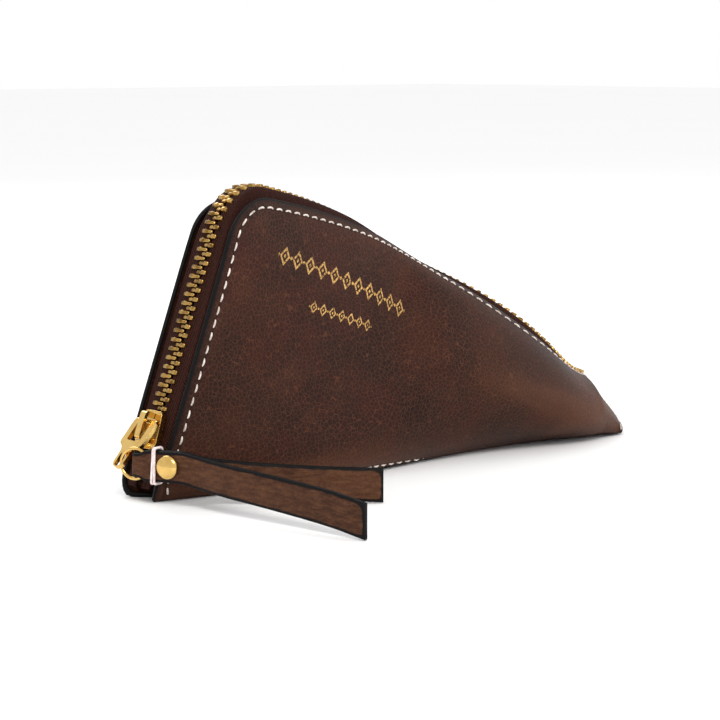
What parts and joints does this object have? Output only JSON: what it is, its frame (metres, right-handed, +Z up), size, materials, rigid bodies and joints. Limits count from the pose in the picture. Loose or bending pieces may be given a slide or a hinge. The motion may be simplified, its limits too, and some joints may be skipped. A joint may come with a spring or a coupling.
{
  "type": "zippered pouch",
  "caption": "Slim leather zippered pouch on its long edge: a metal zip runs up the tall end and along the top to a sewn low end, with a ring-and-strap zip pull.",
  "frame": {"origin": "middle of the footprint of the whole object, on the table it lies on", "axes": "+X from the tall zipped end to the low sewn end, -Y towards the front panel, +Z up"},
  "size_m": [0.2222, 0.0984, 0.0868],
  "materials": {
    "leather": "dark brown pull-up leather with painted edges",
    "lining": "plain woven lining",
    "thread": "waxed off-white thread",
    "zip_tape": "twill zip tape",
    "brass_teeth": "antique brass",
    "gold_metal": "polished light gold plating",
    "spring_steel": "spring steel strip",
    "strap_leather": "warm brown strap leather with painted edges"
  },
  "bodies": {
    "pouch": {"front_panel": "leather", "back_panel": "leather", "front_lining": "lining", "back_lining": "lining", "front_stitching": "thread", "back_stitching": "thread", "zip_tape_front": "zip_tape", "zip_tape_back": "zip_tape", "zip_teeth_front": "brass_teeth", "zip_teeth_back": "brass_teeth", "top_stop_front": "brass_teeth", "top_stop_back": "brass_teeth", "bottom_stop": "brass_teeth"},
    "slider": {"slider_body": "gold_metal", "slider_bridge": "gold_metal", "slider_lock_spring": "spring_steel"},
    "tab": {"pull_tab": "gold_metal"},
    "ring": {"pull_ring": "gold_metal"},
    "strap": {"pull_strap": "strap_leather", "strap_thread": "thread", "rivet_cap": "gold_metal", "rivet_post": "gold_metal"}
  },
  "joints": [
    {"name": "slider_travel", "type": "slide", "parent": "pouch", "child": "slider", "axis": [0.3621, 0, 0.9322], "range_m": [0, 0.048]},
    {"name": "tab_hinge", "type": "hinge", "parent": "slider", "child": "tab", "pos_m": [-0.09961, 0.03292, 0.02174], "axis": [0, -1, 0], "range_deg": [-110, 0]},
    {"name": "ring_hinge", "type": "hinge", "parent": "tab", "child": "ring", "pos_m": [-0.10882, 0.03292, 0.01194], "axis": [0.065, 0.026, 0.9975], "range_deg": [-75, 0]},
    {"name": "strap_hinge", "type": "hinge", "parent": "ring", "child": "strap", "pos_m": [-0.10574, 0.02517, 0.01121], "axis": [0.065, 0.026, 0.9975], "range_deg": [-8, 2]}
  ]
}
